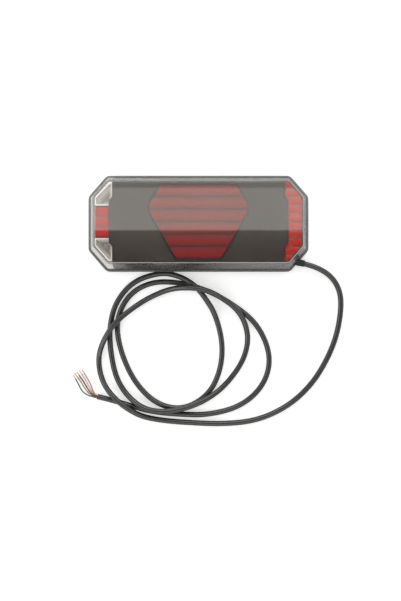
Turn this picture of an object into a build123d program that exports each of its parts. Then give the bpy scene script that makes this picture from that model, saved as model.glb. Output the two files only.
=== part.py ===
"""A rear lamp for a trailer: a rear housing, a clear cover, and the lenses, reflectors and boards between.

The lamp lies on its back on the plane Z = 0. X runs along its length, Z points out of the front, and the
cable leaves under the rim at the +X, -Y corner and lies on the same plane. Millimetres throughout.
"""

import os
from math import ceil, cos, hypot, pi, radians, sin, tan

from build123d import *

# Lamp outline and depth
LENGTH = 238.0
WIDTH = 104.0
DEPTH = 34.0
CORNER_ALONG = 20.0  # the corner cut, measured along the length
CORNER_ACROSS = 23.0  # and across the width
CORNER_ROUND = 8.0

# Rear housing
FLOOR = 2.4
HOUSING_WALL = 2.2
TRAY_INSET = 9.0  # the tray's foot stands this far inside the lamp's outline
TRAY_DRAFT = 1.5
SHELF_INSET = 2.3  # the shelf that carries the cover
SHELF_BOTTOM = 10.0
SHELF_TOP = 11.5
SHELF_EDGE = 0.5
LIP_TOP = 14.5  # the lip stands up inside the cover's foot
LIP = 1.8
BACK_POCKET = 0.8
BACK_LAND = 4.0  # flat border round the pockets
BACK_ROUND = 4.0
BACK_RIB = 3.0
BACK_RIB_PITCH = 27.0
BACK_BOSS_LAND = 3.0
BACK_OUTLET_LAND = 34.0  # flat round the cable's way in
BACK_VENT_LAND = 1.5

# Clear cover
COVER_WALL = 2.0
COVER_FLANGE = 1.9  # the flange stands out this far beyond the sides
FLANGE_ROUND = 0.5
COVER_INSET = 8.0  # the front face stands this far inside the flange's edge
COVER_EDGE_ROUND = 1.4
FRONT_ROUND = 6.0
SEAL_HEIGHT = 1.0
FIT = 0.4  # clearance of a seated piece, each side
INNER_ROUND = 4.0  # corners inside the housing and the cover

# Centre mask and the six-sided lens in it
END_BAY = 28.3  # from the lamp's end to the mask
TAB_REACH = 3.6
TAB_HALF = 22.5
MASK_PLATE = 2.0
MASK_WALL = 1.6
MASK_GAP = 0.5  # between the mask and the cover
MASK_ROUND = 1.5
BEVEL = 2.0
HEX_TOP_HALF = 40.3
HEX_BOTTOM_HALF = 23.7
HEX_BORDER = 13.2  # from the lamp's long side to the lens
HEX_SLOPE = tan(radians(30))  # run per rise of the slanted sides
HEX_ROUND = 12.0
HEX_SMALL_ROUND = 2.0
FLUTES = 6
FLUTE_OVERRUN = 0.6  # the outer ridges run on this far behind the mask
FLUTE_RISE = 1.4
FLUTE_BELOW = 0.2  # the ridges stop this far below the mask's face
HEX_FLANGE = 1.4
HEX_PLATE = 2.0
TRAY_WALL = 1.6
LOUVRE = 1.2
LOUVRE_DROP = 4.0

# Lenses and reflectors in the two ends
END_GAP = 0.4
END_INSET = 9.5
END_FOOT_INSET = 11.0  # low down, inside the tray
END_FOOT_TOP = 12.0
END_LENS_INSET = 10.2
END_SEAT = 15.8  # where the red lenses stand on the reflectors
END_LENS_WALL = 1.8
END_CELL = 8.8
END_CELL_RISE = 1.2
END_RAIL = 1.4  # the raised edge of the red end lens, along the mask
END_RAIL_EDGE = 0.5
MARKER_BORDER = 35.2  # from the lamp's long side
MARKER_DEPTH = 14.2
MARKER_GAP = 0.2
MARKER_CELLS = 3
MARKER_RISE = 1.2
MARKER_DROP = 1.0  # its ridges stand this far below the back of the mask
MARKER_ROUND = 1.0
APRON_FOOT = 15.0  # the bright skirt of the clear end reaches down to here
APRON_TOP = 26.0  # and this high where it passes the marker lens
END_REFLECTOR_WALL = 1.4
WELL_SLOPE_END = 5.0
WELL_SLOPE_SIDE = 2.0
WELL_ROUND = 1.0
CUP_MOUTH = 5.2
CUP_FOOT = 2.9

# Circuit board and what is on it
BOARD_BOTTOM = 7.0
BOARD = 1.6
BOARD_GAP = 1.0
LED_LENGTH = 3.5
LED_WIDTH = 2.8
LED_BODY = 0.8
LED_LENS = 0.6
LED_LENS_BORDER = 0.2
LED_LENS_TAPER = 20.0
LED_WINDOW = 5.0
LED_PITCH = 15.0
END_LED_PITCH = 11.0
END_LED_DEPTH = 8.0  # behind the end lens's outer side
REFLECTOR_BASE = 1.6

# Fastenings
STUD_FROM_MASK = 14.7  # from the mask's end to the stud
INSERT_RADIUS = 4.0
INSERT_BORE = 2.5
INSERT_LENGTH = 9.0
BOSS_RADIUS = 7.0
BOSS_TOP = 11.0
POST_RADIUS = 3.0
SCREW_RADIUS = 1.15
SCREW_LENGTH = 5.0
SCREW_HEAD = 2.5
SCREW_HEAD_HEIGHT = 1.6
SCREW_HEAD_ROUND = 0.7
BOARD_SCREW_BORDER = 19.0  # from the lamp's long side
BOARD_SCREW_FROM_MASK = 4.2
BOARD_SCREW_GAP = 1.2  # between a screw's head and the reflector

# Breather on the back
VENT = (30.0, 26.0)
VENT_RADIUS = 5.5
VENT_STEM = 3.0
VENT_CAP = 0.6
VENT_STEM_RISE = 1.0

# Cable, its grommet, clamp and cores
CORD_RADIUS = 3.0
CORE_RADIUS = 0.75
CORES = 5
CORE_RING = 1.45
GLAND_HEIGHT = FLOOR + CORD_RADIUS
GLAND_TURN = -14.5  # degrees from +X
GLAND_FROM_END = 3.0  # the grommet's mouth, inside the lamp's end
GLAND_FROM_SIDE = 9.2  # and inside its long side
GROMMET_MOUTH = CORD_RADIUS + 0.5
GROMMET_ROOT = CORD_RADIUS + 1.3
GROMMET_COLLAR = CORD_RADIUS + 1.5
GROMMET_COLLAR_LENGTH = 1.5
GROMMET_NECK = CORD_RADIUS + 0.9
BOSS_FACE = 13.0  # from the mouth back to the outlet boss
OUTLET_BOSS = CORD_RADIUS + 3.2
OUTLET_BOSS_LENGTH = 9.0
ENTRY_LENGTH = 40.0
CLAMP_AT = 31.0
CLAMP_WIDTH = 6.0
CLAMP_STRAP = 1.4
CLAMP_REACH = CORD_RADIUS + CLAMP_STRAP + SCREW_HEAD  # from the cable's middle to the screw
CLAMP_FOOT = 1.6
FIRST_RUN = 15.0  # the cable runs straight out of the grommet for this far
TERMINAL_FROM_ENTRY = (-11.5, 3.8)
TERMINAL_SIZE = (8.0, 17.0, 7.0)
TERMINAL_PITCH = 3.2
TERMINAL_HEIGHT = 3.0  # of the entries above the board
TERMINAL_DEPTH = 3.0
LEAD_OUT = 3.0  # a lead's straight run out of the cable
LEAD_IN = 4.0  # and into the connector
LEAD_BEND = 0.8  # share of the room for a bend that a lead's bend takes

# Parts on the board, placed from the studs
PARTS_OUT = 5.0
CHIP_Y = 13.5
CHIP_SIZE = (6.0, 8.0, 1.8)
CHIP_EDGE = 0.2
CAPACITOR_Y = 22.5
CAPACITOR_RADIUS = 3.2
CAPACITOR_HEIGHT = 8.0
CAPACITOR_EDGE = 0.4
RESISTOR_SIZE = (6.3, 3.2, 0.7)
RESISTOR_Y = -12.0
RESISTOR_PITCH = 4.5
RESISTOR_ROWS = 4
RESISTOR_COLUMN = 8.0  # between the two columns
COIL_IN = 15.0
COIL_RADIUS = 3.6
COIL_CORE = 2.4
COIL_HEIGHT = 5.0
COIL_FLANGE = 1.0

BOARD_TOP = BOARD_BOTTOM + BOARD
PLATE_TOP = DEPTH - COVER_WALL - MASK_GAP
PLATE_BOTTOM = PLATE_TOP - MASK_PLATE
COVER_FOOT = SHELF_TOP + SEAL_HEIGHT
LIP_INSET = COVER_FLANGE + COVER_WALL + FIT
CAVITY_INSET = LIP_INSET + LIP
MASK_HALF = LENGTH / 2 - END_BAY
HEX_EDGE = WIDTH / 2 - HEX_BORDER
MARKER_HALF = WIDTH / 2 - MARKER_BORDER
FLUTE_PITCH = 2 * (HEX_EDGE + FLUTE_OVERRUN) / FLUTES
STUD = MASK_HALF - STUD_FROM_MASK
LENS_FLANGE_BOTTOM = PLATE_BOTTOM - HEX_PLATE
BASE_TOP = BOARD_TOP + REFLECTOR_BASE

# The cable's route from the grommet's mouth to its cut end: along X from the lamp's middle, along Y from
# the long side it leaves by, and its centre's height in cable radii. It lies on the plane and passes over
# itself in low humps, with a point on each side of a crossing.
ROUTE = [
    (147, -5, 1), (156, -21, 1), (157, -41, 1), (152, -70, 1), (141, -97, 1), (124, -124, 1),
    (99, -147, 1), (65, -163, 1), (26, -167, 1), (-15, -165, 1), (-39, -163, 1), (-61, -159, 1.07),
    (-75, -150.5, 3.2), (-88, -141, 3.33), (-102, -126, 2.33), (-109, -109, 1), (-110, -91, 1),
    (-103, -73, 3.07), (-91, -55, 3.47), (-73, -40, 2.33), (-55, -28, 1), (-31, -18, 2.47),
    (-10, -17, 5.4), (7, -19, 5.47), (24, -27, 3.53), (42, -40, 3.2), (52, -57, 1.8), (55, -77, 1),
    (48, -100, 1), (29, -125, 1.2), (9, -139, 3.27), (-12, -148, 3.23), (-38, -153, 3.2),
    (-60, -149, 3.37), (-78, -136, 1.47), (-91, -116, 1), (-97, -86, 1), (-98, -59, 1),
    (-91, -32, 1), (-71, -9, 1), (-41, 0, 1), (-21, -4, 2.07), (-4, -14, 3.4), (8, -29, 3.23),
    (19, -47, 1.2), (27, -79, 1), (24, -109, 1), (11, -135, 1), (-16, -151, 1), (-45, -146, 1),
    (-70, -122, 1), (-86, -87, 1), (-91, -54, 1), (-78, -25, 1), (-52, -10, 1), (-20, -11, 1),
    (11, -20, 1), (41, -37, 1), (66, -58, 1), (80, -92, 1), (73, -123, 1), (48, -147, 1),
    (11, -157, 1), (-23, -156, 1), (-53, -153, 1), (-82, -144.5, 1), (-97, -140, 1),
    (-111, -136.7, 1),
]
# Where each stripped core goes after the sheath's cut end, in the same way, in core radii.
CORE_ROUTES = {
    "core_brown": [(-119.6, -131.8, 2.93), (-124, -125.6, 1), (-127.5, -119.5, 1), (-131.8, -113.5, 1)],
    "core_pink": [(-116.8, -129.5, 2.13), (-119, -123.5, 1), (-122.5, -117, 1), (-126, -111.5, 1)],
    "core_white": [(-118.5, -130.5, 1), (-121.6, -124.5, 1), (-125, -118, 1), (-129, -112, 1)],
    "core_cream": [(-121, -133.8, 1), (-126.2, -127.3, 1), (-129.7, -121, 1), (-134, -115, 1)],
    "core_grey": [(-123.5, -135.3, 1.33), (-129.5, -130, 1), (-131.8, -124.5, 1), (-135.8, -117.5, 1)],
}
CORE_FIRST_RUN = 3.0
TIP_LENGTH = 5.0
TIP_RADIUS = 0.45


# ---------------------------------------------------------------- outlines and small helpers


def corner(inset):
    """The outline's limits, drawn in by inset: its end, its long side, and where the corner cut meets each."""
    run = hypot(CORNER_ALONG, CORNER_ACROSS)
    nx, ny = CORNER_ACROSS / run, CORNER_ALONG / run
    reach = nx * LENGTH / 2 + ny * (WIDTH / 2 - CORNER_ACROSS) - inset
    x, y = LENGTH / 2 - inset, WIDTH / 2 - inset
    return x, y, (reach - nx * x) / ny, (reach - ny * y) / nx


def outline(inset, rounding, z=0.0):
    """The lamp's eight-sided outline, drawn in by inset, at height z."""
    x, y, side, top = corner(inset)
    points = [(x, side), (top, y), (-top, y), (-x, side), (-x, -side), (-top, -y), (top, -y), (x, -side)]
    face = Polygon(*points, align=None)
    return Pos(0, 0, z) * fillet(face.vertices(), rounding)


def prism(face, height):
    """A face carried straight up by height."""
    return extrude(face, amount=height, dir=(0, 0, 1))


def between(inset_low, inset_high, low, high, round_low=5.0, round_high=5.0):
    """The solid between two lamp outlines at two heights."""
    return loft([outline(inset_low, round_low, low), outline(inset_high, round_high, high)], ruled=True)


def block(x0, x1, y0, y1, z0, z1):
    """A plain box from its limits."""
    return Pos((x0 + x1) / 2, (y0 + y1) / 2, (z0 + z1) / 2) * Box(x1 - x0, y1 - y0, z1 - z0)


def post(x, y, z0, z1, radius):
    """An upright cylinder."""
    return Pos(x, y, (z0 + z1) / 2) * Cylinder(radius, z1 - z0)


def cover_inset(z):
    """How far the inside of the cover stands in from the lamp's outline at height z."""
    share = (z - LIP_TOP) / (DEPTH - COVER_WALL - LIP_TOP)
    return COVER_FLANGE + COVER_WALL + (COVER_INSET - COVER_FLANGE) * max(share, 0.0)


def hexagon(grow, z=0.0):
    """The six-sided lens outline, grown outwards by grow, with its wide corners well rounded."""
    edge = HEX_EDGE + grow
    slant = grow * (hypot(1.0, HEX_SLOPE) - HEX_SLOPE)
    top_half, bottom_half = HEX_TOP_HALF + slant, HEX_BOTTOM_HALF + slant
    waist = (top_half - bottom_half) / (2 * HEX_SLOPE)
    wide = top_half + HEX_SLOPE * (edge - waist)
    right = [(top_half, edge), (wide, waist), (bottom_half, -edge)]
    face = Polygon(*right, *[(-x, y) for x, y in reversed(right)], align=None)
    corners = face.vertices().sort_by(Axis.X)
    face = fillet([corners[0], corners[-1]], HEX_ROUND + grow)
    small = [v for v in face.vertices() if abs(abs(v.Y) - edge) < 0.01]
    return Pos(0, 0, z) * fillet(small, HEX_SMALL_ROUND + grow)


def hexagon_half_width(y, grow=0.0):
    """Half the width of the six-sided lens, grown by grow, at height y of the lamp's face."""
    upper = HEX_TOP_HALF + HEX_SLOPE * (HEX_EDGE - y)
    lower = HEX_BOTTOM_HALF + HEX_SLOPE * (y + HEX_EDGE)
    return min(upper, lower) + grow * hypot(1.0, HEX_SLOPE)


def scalloped_strip(count, pitch, rise, low, crest, reach):
    """A bar along X whose top is a row of rounded ridges side by side, count of them across Y."""
    start = -count * pitch / 2
    edges = [Line((start, low), (start, crest - rise))]
    for k in range(count):
        left = start + k * pitch
        ends = (left, crest - rise), (left + pitch, crest - rise)
        edges.append(ThreePointArc(ends[0], (left + pitch / 2, crest), ends[1]))
    edges.append(Polyline((-start, crest - rise), (-start, low), (start, low)))
    profile = make_face(Plane.YZ * Curve(edges))
    return Pos(-reach, 0, 0) * extrude(profile, amount=2 * reach, dir=(1, 0, 0))


def mask_plan(grow):
    """The plan of the centre mask: straight long sides, and an end tab with soft shoulders at each end."""
    half, tab = MASK_HALF + grow, MASK_HALF + TAB_REACH + grow
    shoulder = TAB_HALF + grow
    upper = [(half, WIDTH), (half, shoulder + TAB_REACH), (tab, shoulder)]
    right = upper + [(x, -y) for x, y in reversed(upper)]
    face = Polygon(*right, *[(-x, y) for x, y in reversed(right)], align=None)
    bends = [v for v in face.vertices() if abs(v.Y) < WIDTH / 2]
    return fillet(bends, MASK_ROUND)


def inside_cover(gap, low, high):
    """The room inside the cover between two heights, less a gap all round."""
    return between(cover_inset(low) + gap, cover_inset(high) + gap, low, high, INNER_ROUND, INNER_ROUND)


# ---------------------------------------------------------------- housing and cover


def board_screw_places():
    """The screws that hold the board: four round the six-sided reflector and one near each end."""
    y = WIDTH / 2 - BOARD_SCREW_BORDER
    clear = SCREW_HEAD + BOARD_SCREW_GAP
    places = [(side * (hexagon_half_width(h, HEX_FLANGE) + clear), h) for side in (1, -1) for h in (y, -y)]
    return places + [(side * (MASK_HALF - BOARD_SCREW_FROM_MASK), y) for side in (1, -1)]


def stud_places():
    """The two places where the lamp is bolted on."""
    return [(-STUD, 0.0), (STUD, 0.0)]


def outlet_plane(distance):
    """The plane across the cable's way in, this far back from the grommet's mouth, facing inwards."""
    turn = radians(GLAND_TURN)
    inward = (-cos(turn), -sin(turn), 0)
    mouth = cord_start()
    origin = tuple(m + distance * i for m, i in zip(mouth, inward))
    return Plane(origin=origin, x_dir=(inward[1], -inward[0], 0), z_dir=inward)


def cord_start():
    """The centre of the grommet's mouth, where the cable comes free."""
    return (LENGTH / 2 - GLAND_FROM_END, -WIDTH / 2 + GLAND_FROM_SIDE, GLAND_HEIGHT)


def clamp_screw_place():
    """The middle of the cable clamp's one screw, on the side of the cable away from the wall."""
    place = outlet_plane(CLAMP_AT).from_local_coords((CLAMP_REACH, 0, 0))
    return place.X, place.Y


def back_pockets():
    """The shallow pockets between the ribs on the back."""
    face = outline(TRAY_INSET + BACK_LAND, BACK_ROUND)
    columns = ceil(LENGTH / BACK_RIB_PITCH / 2)
    for k in range(-columns, columns + 1):
        face -= Pos(k * BACK_RIB_PITCH, 0) * Rectangle(BACK_RIB, WIDTH)
    face -= Rectangle(LENGTH, BACK_RIB)
    for x, y in stud_places():
        face -= Pos(x, y) * Circle(BOSS_RADIUS + BACK_BOSS_LAND)
    face -= Pos(*cord_start()[:2]) * Circle(BACK_OUTLET_LAND)
    face += Pos(*VENT) * Circle(VENT_RADIUS + BACK_VENT_LAND)
    return prism(face, BACK_POCKET)


def rear_housing():
    """The tray with the shelf and lip for the cover, the bosses and the cable outlet."""
    body = between(TRAY_INSET, TRAY_INSET - TRAY_DRAFT, 0, SHELF_BOTTOM)
    shelf = prism(outline(SHELF_INSET, CORNER_ROUND - SHELF_INSET, SHELF_BOTTOM), SHELF_TOP - SHELF_BOTTOM)
    body += chamfer(shelf.edges().group_by(Axis.Z)[0], SHELF_EDGE)
    body += prism(outline(LIP_INSET, CORNER_ROUND - LIP_INSET, SHELF_TOP), LIP_TOP - SHELF_TOP)
    inner_low = TRAY_INSET + HOUSING_WALL
    body -= between(inner_low, inner_low - TRAY_DRAFT, FLOOR, SHELF_TOP, INNER_ROUND, INNER_ROUND)
    body -= prism(outline(CAVITY_INSET, INNER_ROUND, SHELF_TOP), DEPTH)
    outlet = extrude(outlet_plane(BOSS_FACE) * Circle(OUTLET_BOSS), OUTLET_BOSS_LENGTH)
    body += outlet & block(0, LENGTH, -WIDTH, 0, 0, SHELF_BOTTOM)
    for x, y in stud_places():
        body += post(x, y, FLOOR, BOSS_TOP, BOSS_RADIUS)
    for x, y in board_screw_places():
        body += post(x, y, FLOOR, BOARD_BOTTOM, POST_RADIUS)
    body += post(*clamp_screw_place(), FLOOR, GLAND_HEIGHT, POST_RADIUS)
    body -= back_pockets()
    for x, y in stud_places():
        body -= post(x, y, 0, INSERT_LENGTH + FIT, INSERT_RADIUS)
    for x, y in board_screw_places():
        body -= post(x, y, BOARD_TOP - SCREW_LENGTH - FIT, BOARD_BOTTOM, SCREW_RADIUS)
    clamp_seat = GLAND_HEIGHT + CLAMP_FOOT
    body -= post(*clamp_screw_place(), clamp_seat - SCREW_LENGTH, clamp_seat, SCREW_RADIUS)
    body -= extrude(outlet_plane(BOSS_FACE) * Circle(GROMMET_NECK), OUTLET_BOSS_LENGTH + HOUSING_WALL)
    body -= extrude(outlet_plane(0) * Circle(GROMMET_COLLAR), BOSS_FACE)
    body -= post(*VENT, BACK_POCKET, FLOOR, VENT_STEM)
    return body


def outer_cover():
    """The clear cover: a flange whose inner edge stands round the lip, sloping sides and a flat front."""
    outer_round, inner_round = CORNER_ROUND - COVER_FLANGE, CORNER_ROUND - LIP_INSET + FIT
    flange = prism(outline(0, CORNER_ROUND, COVER_FOOT), LIP_TOP - COVER_FOOT)
    flange = fillet(flange.edges().group_by(Axis.Z)[-1], FLANGE_ROUND)
    front = outline(COVER_INSET, FRONT_ROUND, DEPTH)
    shell = loft([outline(COVER_FLANGE, outer_round, LIP_TOP), front], ruled=True)
    shell = fillet(shell.edges().group_by(Axis.Z)[-1], COVER_EDGE_ROUND)
    room = loft(
        [
            outline(COVER_FLANGE + COVER_WALL, inner_round, LIP_TOP),
            outline(COVER_INSET + COVER_WALL, FRONT_ROUND - COVER_WALL, DEPTH - COVER_WALL),
        ],
        ruled=True,
    )
    foot_room = prism(outline(COVER_FLANGE + COVER_WALL, inner_round, COVER_FOOT), LIP_TOP - COVER_FOOT)
    return (flange - foot_room) + (shell - room)


def cover_seal():
    """The seal between the shelf and the cover's foot."""
    ring = outline(SHELF_INSET + FIT, CORNER_ROUND - SHELF_INSET - FIT, SHELF_TOP)
    ring -= outline(LIP_INSET - FIT / 2, CORNER_ROUND - LIP_INSET, SHELF_TOP)
    return prism(ring, SEAL_HEIGHT)


def breather_vent():
    """The breather: a thin cap in its pocket and a stem through the floor."""
    cap = post(*VENT, BACK_POCKET - VENT_CAP, BACK_POCKET, VENT_RADIUS)
    return cap + post(*VENT, BACK_POCKET, FLOOR + VENT_STEM_RISE, VENT_STEM)


def mounting_inserts():
    """The two threaded inserts, flush with the back."""
    ring = Circle(INSERT_RADIUS) - Circle(INSERT_BORE)
    return [prism(Pos(x, y) * ring, INSERT_LENGTH) for x, y in stud_places()]


# ---------------------------------------------------------------- centre mask and six-sided lens


def centre_mask():
    """The dark mask: a plate behind the front with a bevelled opening, on walls that stand on the lip."""
    outside = inside_cover(MASK_GAP, LIP_TOP, PLATE_TOP) & prism(mask_plan(0), DEPTH)
    hollow = inside_cover(MASK_GAP + MASK_WALL, LIP_TOP, PLATE_BOTTOM) & prism(mask_plan(-MASK_WALL), DEPTH)
    opening = loft([hexagon(0, PLATE_BOTTOM), hexagon(BEVEL, PLATE_TOP)], ruled=True)
    return outside - hollow - opening


def hexagon_lens():
    """The red lens: a flange behind the mask and rounded ridges that rise into its opening."""
    flange = prism(hexagon(HEX_FLANGE, LENS_FLANGE_BOTTOM), HEX_PLATE)
    raised = prism(hexagon(-FIT, PLATE_BOTTOM), MASK_PLATE)
    crest = PLATE_TOP - FLUTE_BELOW
    ridges = scalloped_strip(FLUTES, FLUTE_PITCH, FLUTE_RISE, LENS_FLANGE_BOTTOM, crest, LENGTH)
    return flange + (raised & ridges)


def led_rows():
    """The light sources behind the ridges: as many in each row as its width takes."""
    places = []
    for k in range(FLUTES):
        y = (k - (FLUTES - 1) / 2) * FLUTE_PITCH
        count = int(2 * (hexagon_half_width(y) - LED_WINDOW) / LED_PITCH) + 1
        places += [((n - (count - 1) / 2) * LED_PITCH, y) for n in range(count)]
    return places


def leds(places):
    """Light sources on the board: a body and a tapered lens each."""
    body = Rectangle(LED_LENGTH, LED_WIDTH)
    dome = LED_WIDTH - 2 * LED_LENS_BORDER
    made = []
    for x, y in places:
        base = prism(Pos(x, y, BOARD_TOP) * body, LED_BODY)
        top = Pos(x, y, BOARD_TOP + LED_BODY) * Rectangle(dome, dome)
        made.append(base + extrude(top, LED_LENS, dir=(0, 0, 1), taper=LED_LENS_TAPER))
    return made


def led_windows(places):
    """Openings in a reflector's base, one round each light source."""
    window = Rectangle(LED_WINDOW, LED_WINDOW)
    return [prism(Pos(x, y, BOARD_TOP) * window, REFLECTOR_BASE) for x, y in places]


def hexagon_reflector():
    """The tray behind the red lens: a wall all round, a base and a louvre between each two ridges."""
    height = LENS_FLANGE_BOTTOM - BOARD_TOP
    tray = prism(hexagon(HEX_FLANGE, BOARD_TOP), height)
    tray -= prism(hexagon(HEX_FLANGE - TRAY_WALL, BASE_TOP), height)
    inside = prism(hexagon(HEX_FLANGE - TRAY_WALL / 2, BOARD_TOP), height)
    louvre_top = LENS_FLANGE_BOTTOM - LOUVRE_DROP
    for k in range(1, FLUTES):
        y = (k - FLUTES / 2) * FLUTE_PITCH
        louvre = block(-LENGTH, LENGTH, y - LOUVRE / 2, y + LOUVRE / 2, BOARD_TOP, louvre_top)
        tray += louvre & inside
    for window in led_windows(led_rows()):
        tray -= window
    return tray


# ---------------------------------------------------------------- the two ends


def end_zone(side, inset, low, high, gap=END_GAP):
    """The room beyond the mask at one end, side being 1 or -1, between two heights."""
    room = prism(outline(inset, INNER_ROUND, low) - Pos(0, 0, low) * mask_plan(gap), high - low)
    half = block(0, LENGTH, -WIDTH, WIDTH, low, high)
    return room & (half if side > 0 else mirror(half, Plane.YZ))


def lobed_end(inset):
    """The plan of the right end, its outer edge a chain of rounded lobes round both corner cuts."""
    x, y, side, top = corner(inset + END_CELL_RISE)
    inner = MASK_HALF + END_GAP
    corners = [Vector(*p) for p in ((inner, -y), (top, -y), (x, -side), (x, side), (top, y), (inner, y))]
    edges = [Line(corners[-1], corners[0])]
    for a, b in zip(corners, corners[1:]):
        count = max(1, round((b - a).length / END_CELL))
        stops = [a + (b - a) * (k / count) for k in range(count + 1)]
        edges += [SagittaArc(p, q, -END_CELL_RISE) for p, q in zip(stops, stops[1:])]
    return make_face(Curve(edges))


def right_end_lens():
    """The red end lens: lobed sides, rounded ridges on top, a raised edge along the mask, hollow behind."""
    height = PLATE_TOP - END_SEAT
    plan = lobed_end(END_LENS_INSET)
    body = prism(Pos(0, 0, END_SEAT) * (plan - mask_plan(END_GAP)), height)
    count = 2 * ceil(WIDTH / END_CELL / 2)
    body &= scalloped_strip(count, END_CELL, END_CELL_RISE, END_SEAT, PLATE_TOP, LENGTH)
    rail = prism(Pos(0, 0, END_SEAT) * (mask_plan(END_GAP + END_RAIL) - mask_plan(END_GAP)), height)
    rail = chamfer(rail.edges().group_by(Axis.Z)[-1], END_RAIL_EDGE)
    body += rail & prism(Pos(0, 0, END_SEAT) * plan, height)
    hollow_top = PLATE_TOP - END_CELL_RISE - END_LENS_WALL
    inset = END_LENS_INSET + END_CELL_RISE + END_LENS_WALL
    return body - end_zone(1, inset, END_SEAT, hollow_top, END_GAP + END_LENS_WALL)


def cup(x, y):
    """The round opening in a reflector above one light source, wider towards the lens."""
    rise = END_SEAT - BOARD_TOP
    return Pos(x, y, BOARD_TOP + rise / 2) * Cone(CUP_FOOT, CUP_MOUTH, rise)


def right_led_places():
    """A column of light sources behind the right end lens, as many as its straight side takes."""
    count = int(corner(END_FOOT_INSET)[2] / END_LED_PITCH)
    x = LENGTH / 2 - END_LENS_INSET - END_LED_DEPTH
    return [(x, k * END_LED_PITCH) for k in range(-count, count + 1)]


def right_reflector():
    """The reflector behind the red end lens, with a round cup for each light source."""
    body = end_zone(1, END_LENS_INSET + END_LENS_WALL, BOARD_TOP, END_SEAT)
    for x, y in right_led_places():
        body -= cup(x, y)
    body -= extrude(outlet_plane(0) * Circle(CORD_RADIUS + FIT), ENTRY_LENGTH)
    clamp_start = CLAMP_AT - CLAMP_WIDTH / 2 - FIT
    body -= extrude(outlet_plane(clamp_start) * Circle(CORD_RADIUS + CLAMP_STRAP + FIT), CLAMP_WIDTH + 2 * FIT)
    return body - extrude(outlet_plane(BOSS_FACE) * Circle(OUTLET_BOSS + FIT), OUTLET_BOSS_LENGTH + FIT)


def well_plan(slope_end, slope_side, z):
    """The upper well's plan at height z, drawn in from its mouth by the two slopes."""
    inset = END_INSET + END_REFLECTOR_WALL + slope_end
    x, y, side, top = corner(inset)
    inner = MASK_HALF + END_GAP + END_REFLECTOR_WALL
    low = MARKER_HALF + END_GAP + END_REFLECTOR_WALL + slope_side
    far = min(y, side + (y - side) * (x - inner) / (x - top))
    face = Polygon((-inner, low), (-inner, far), (-x, side), (-x, low), align=None)
    return Pos(0, 0, z) * fillet(face.vertices(), WELL_ROUND)


def well():
    """The upper tapered well of the left reflector."""
    foot = well_plan(WELL_SLOPE_END, WELL_SLOPE_SIDE, BASE_TOP)
    return loft([foot, well_plan(0.0, 0.0, PLATE_BOTTOM)], ruled=True)


def apron():
    """The thin skirt of the left reflector, which flares out along the inside of the cover."""
    high = PLATE_BOTTOM - END_REFLECTOR_WALL
    skirt = inside_cover(FIT, APRON_FOOT, PLATE_BOTTOM) & end_zone(-1, 0, APRON_FOOT, PLATE_BOTTOM)
    return skirt - inside_cover(FIT + END_REFLECTOR_WALL, APRON_FOOT, high)


def left_reflector():
    """The bright reflector of the clear end: two wells, and a seat between them for the marker lens."""
    body = end_zone(-1, END_FOOT_INSET, BOARD_TOP, END_FOOT_TOP)
    body += end_zone(-1, END_INSET, END_FOOT_TOP, PLATE_BOTTOM)
    body += apron()
    body -= well()
    body -= mirror(well(), Plane.XZ)
    reach = MARKER_HALF + END_GAP
    body -= block(-LENGTH / 2 + END_INSET, 0, -reach, reach, END_SEAT, DEPTH)
    body -= block(-LENGTH, 0, -reach, reach, APRON_TOP, DEPTH)
    for window in led_windows(left_led_places()):
        body -= window
    for x, y in marker_led_places():
        body -= cup(x, y)
    return body


def left_led_places():
    """One light source in the foot of each well."""
    middle = well_plan(WELL_SLOPE_END, WELL_SLOPE_SIDE, BASE_TOP).center()
    return [(middle.X, middle.Y), (middle.X, -middle.Y)]


def marker_limits():
    """The marker lens's outer and inner face, along the lamp."""
    outer = -LENGTH / 2 + END_INSET + MARKER_GAP
    return outer, outer + MARKER_DEPTH


def marker_led_places():
    """One light source under each cell of the marker lens."""
    pitch = 2 * MARKER_HALF / MARKER_CELLS
    return [(sum(marker_limits()) / 2, (k - (MARKER_CELLS - 1) / 2) * pitch) for k in range(MARKER_CELLS)]


def marker_lens():
    """The small red block in the clear end, with a rounded ridge for each cell, hollow behind."""
    outer, inner = marker_limits()
    top = PLATE_BOTTOM - MARKER_DROP
    strip = scalloped_strip(MARKER_CELLS, 2 * MARKER_HALF / MARKER_CELLS, MARKER_RISE, END_SEAT, top, LENGTH)
    body = strip & block(outer, inner, -MARKER_HALF, MARKER_HALF, END_SEAT, DEPTH)
    body = fillet(body.edges().filter_by(Axis.Z), MARKER_ROUND)
    wall = END_LENS_WALL
    limit = MARKER_HALF - wall
    return body - block(outer + wall, inner - wall, -limit, limit, END_SEAT, top - MARKER_RISE - wall)


# ---------------------------------------------------------------- board and what is on it


def circuit_board():
    """The board on its posts, open round the bosses and where the cable comes in."""
    board = outline(TRAY_INSET + HOUSING_WALL + BOARD_GAP, 4.0, BOARD_BOTTOM)
    for x, y in stud_places():
        board -= Pos(x, y, BOARD_BOTTOM) * Circle(BOSS_RADIUS + BOARD_GAP)
    for x, y in board_screw_places():
        board -= Pos(x, y, BOARD_BOTTOM) * Circle(SCREW_RADIUS + FIT)
    x, y = terminal_place()
    left, side = x + TERMINAL_SIZE[0] / 2 + BOARD_GAP, y + TERMINAL_SIZE[1] / 2
    top = clamp_screw_place()[1] + POST_RADIUS + BOARD_GAP
    end = outlet_plane(ENTRY_LENGTH).origin.X + CORD_RADIUS
    board = prism(board, BOARD) - block(left, LENGTH, -WIDTH, top, 0, DEPTH)
    return board - block(left, end, -WIDTH, side, 0, DEPTH)


def chip(x, y, long, wide, tall):
    """A packaged part on the board, with softened top edges."""
    body = block(x - long / 2, x + long / 2, y - wide / 2, y + wide / 2, BOARD_TOP, BOARD_TOP + tall)
    return chamfer(body.faces().sort_by(Axis.Z)[-1].edges(), CHIP_EDGE)


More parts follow.
